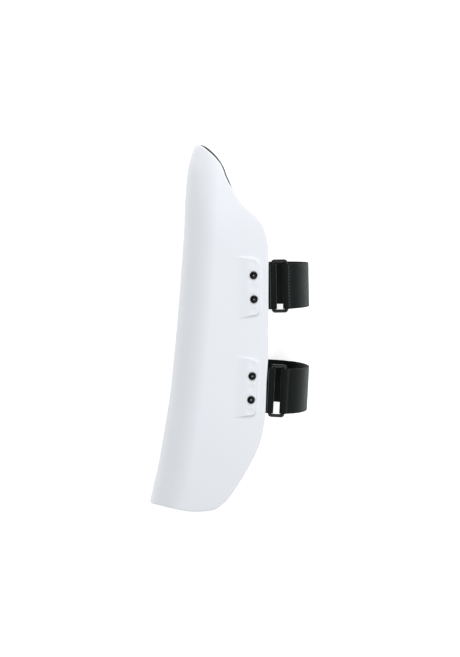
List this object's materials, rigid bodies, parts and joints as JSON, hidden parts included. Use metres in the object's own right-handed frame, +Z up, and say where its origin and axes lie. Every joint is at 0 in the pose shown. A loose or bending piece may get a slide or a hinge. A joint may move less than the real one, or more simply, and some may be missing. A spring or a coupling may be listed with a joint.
{
  "type": "ski shin guard",
  "caption": "Moulded white shin guard for ski racing with a foam liner and two black rear straps, lying on its side.",
  "frame": {"origin": "middle of the guard's bounding box, on the ground that it lies on", "axes": "+Y towards the knee end, +X towards the straps behind the leg, +Z up, out of the flank with the buckles"},
  "size_m": [0.1722, 0.386, 0.1185],
  "materials": {
    "shell_plastic": "satin",
    "liner_foam": "matte",
    "webbing": "matte",
    "buckle_plastic": "satin",
    "rivet_metal": "satin"
  },
  "bodies": {
    "root": {"shell": "shell_plastic", "liner": "liner_foam", "upper_tab": "webbing", "upper_strap": "webbing", "upper_buckle": "buckle_plastic", "lower_tab": "webbing", "lower_strap": "webbing", "lower_buckle": "buckle_plastic", "upper_near_rivet_1": "rivet_metal", "upper_near_rivet_2": "rivet_metal", "upper_far_rivet_1": "rivet_metal", "upper_far_rivet_2": "rivet_metal", "lower_near_rivet_1": "rivet_metal", "lower_near_rivet_2": "rivet_metal", "lower_far_rivet_1": "rivet_metal", "lower_far_rivet_2": "rivet_metal"}
  },
  "joints": []
}
